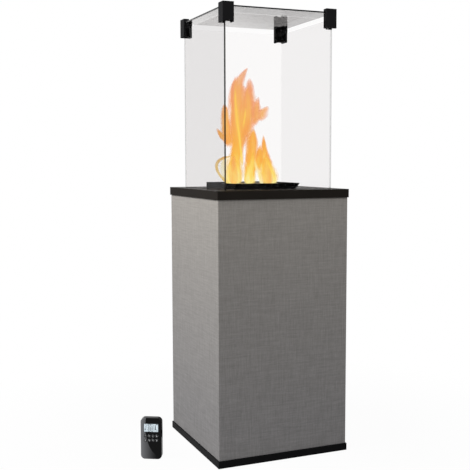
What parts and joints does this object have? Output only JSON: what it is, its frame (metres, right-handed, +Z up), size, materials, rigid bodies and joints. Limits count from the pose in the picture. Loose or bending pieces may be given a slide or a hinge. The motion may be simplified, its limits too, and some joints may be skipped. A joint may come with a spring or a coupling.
{
  "type": "patio gas heater",
  "caption": "Square tower gas heater: clad bottle cabinet with rear door, black slab, burner in a vented glass flame box with corner brackets, and a keyed handset.",
  "frame": {"origin": "centre of the plinth's underside, on the floor", "axes": "+Z up; -Y is the front panel, the wide face in the picture; +Y is the rear door"},
  "size_m": [0.6221, 0.4478, 1.3715],
  "materials": {
    "slab": "gloss black",
    "black_metal": "satin black",
    "cladding": "woven-textured grey coating",
    "zinc_steel": "zinc-plated",
    "flame_glass": "clear tempered",
    "burner_steel": "stainless, heat-tinted",
    "brass": "machined",
    "ceramic": "white glazed",
    "knob_plastic": "matt black",
    "box_plastic": "matt grey",
    "handset_shell": "gloss black",
    "handset_rear": "matt black",
    "display": "backlit display",
    "board": "circuit board",
    "key": "black keys"
  },
  "bodies": {
    "cabinet": {"base_pan": "black_metal", "post_front_left": "zinc_steel", "post_front_right": "zinc_steel", "post_rear_right": "zinc_steel", "post_rear_left": "zinc_steel", "front_panel": "cladding", "left_panel": "cladding", "right_panel": "cladding", "top_slab": "slab", "front_pane": "flame_glass", "rear_pane": "flame_glass", "left_pane": "flame_glass", "right_pane": "flame_glass", "lid_pane": "flame_glass", "bracket_front_left": "black_metal", "bracket_front_right": "black_metal", "bracket_rear_right": "black_metal", "bracket_rear_left": "black_metal", "hinge_leaf_side_upper": "zinc_steel", "hinge_leaf_side_lower": "zinc_steel", "hinge_pin_upper": "zinc_steel", "hinge_pin_lower": "zinc_steel", "burner_tray": "black_metal", "burner_ring": "burner_steel", "injector": "brass", "pilot_burner": "burner_steel", "spark_electrode": "ceramic", "valve_hanger": "zinc_steel", "control_valve": "brass", "gas_pipe": "zinc_steel", "receiver_box": "box_plastic", "bottle_ring": "zinc_steel"},
    "rear_door": {"rear_door": "cladding", "hinge_leaf_door_upper": "zinc_steel", "hinge_leaf_door_lower": "zinc_steel"},
    "door_latch": {"door_latch": "black_metal"},
    "valve_knob": {"valve_knob": "knob_plastic"},
    "receiver_cover": {"receiver_cover": "box_plastic"},
    "handset": {"handset_case": "handset_shell", "handset_display": "display", "handset_board": "board"},
    "handset_back": {"handset_back": "handset_rear"},
    "handset_key_1": {"handset_key_1": "key"},
    "handset_key_2": {"handset_key_2": "key"},
    "handset_key_3": {"handset_key_3": "key"},
    "handset_key_4": {"handset_key_4": "key"},
    "handset_key_5": {"handset_key_5": "key"},
    "handset_key_6": {"handset_key_6": "key"},
    "handset_key_7": {"handset_key_7": "key"},
    "handset_key_8": {"handset_key_8": "key"}
  },
  "joints": [
    {"name": "door_hinge", "type": "hinge", "parent": "cabinet", "child": "rear_door", "pos_m": [0.215, 0.218, 0.4105], "axis": [0, 0, -1], "range_deg": [0, 110]},
    {"name": "latch_turn", "type": "hinge", "parent": "rear_door", "child": "door_latch", "pos_m": [-0.1752, 0.214, 0.4105], "axis": [0, -1, 0], "range_deg": [0, 90]},
    {"name": "knob_turn", "type": "hinge", "parent": "cabinet", "child": "valve_knob", "pos_m": [0, 0.123, 0.7307], "axis": [0, 1, 0], "range_deg": [0, 180]},
    {"name": "receiver_cover_off", "type": "slide", "parent": "cabinet", "child": "receiver_cover", "axis": [1, 0, 0], "range_m": [0, 0.04]},
    {"name": "handset_lift", "type": "slide", "parent": "cabinet", "child": "handset", "axis": [0, 0, 1], "range_m": [0, 0.3]},
    {"name": "handset_back_off", "type": "slide", "parent": "handset", "child": "handset_back", "axis": [0.4695, 0.8829, 0], "range_m": [0, 0.03]},
    {"name": "handset_key_1_press", "type": "slide", "parent": "handset", "child": "handset_key_1", "axis": [0.4695, 0.8829, 0], "range_m": [0, 0.001], "stiffness_N_per_m": 250, "springref_m": -0.001},
    {"name": "handset_key_2_press", "type": "slide", "parent": "handset", "child": "handset_key_2", "axis": [0.4695, 0.8829, 0], "range_m": [0, 0.001], "stiffness_N_per_m": 250, "springref_m": -0.001},
    {"name": "handset_key_3_press", "type": "slide", "parent": "handset", "child": "handset_key_3", "axis": [0.4695, 0.8829, 0], "range_m": [0, 0.001], "stiffness_N_per_m": 250, "springref_m": -0.001},
    {"name": "handset_key_4_press", "type": "slide", "parent": "handset", "child": "handset_key_4", "axis": [0.4695, 0.8829, 0], "range_m": [0, 0.001], "stiffness_N_per_m": 250, "springref_m": -0.001},
    {"name": "handset_key_5_press", "type": "slide", "parent": "handset", "child": "handset_key_5", "axis": [0.4695, 0.8829, 0], "range_m": [0, 0.001], "stiffness_N_per_m": 250, "springref_m": -0.001},
    {"name": "handset_key_6_press", "type": "slide", "parent": "handset", "child": "handset_key_6", "axis": [0.4695, 0.8829, 0], "range_m": [0, 0.001], "stiffness_N_per_m": 250, "springref_m": -0.001},
    {"name": "handset_key_7_press", "type": "slide", "parent": "handset", "child": "handset_key_7", "axis": [0.4695, 0.8829, 0], "range_m": [0, 0.001], "stiffness_N_per_m": 250, "springref_m": -0.001},
    {"name": "handset_key_8_press", "type": "slide", "parent": "handset", "child": "handset_key_8", "axis": [0.4695, 0.8829, 0], "range_m": [0, 0.001], "stiffness_N_per_m": 250, "springref_m": -0.001}
  ]
}
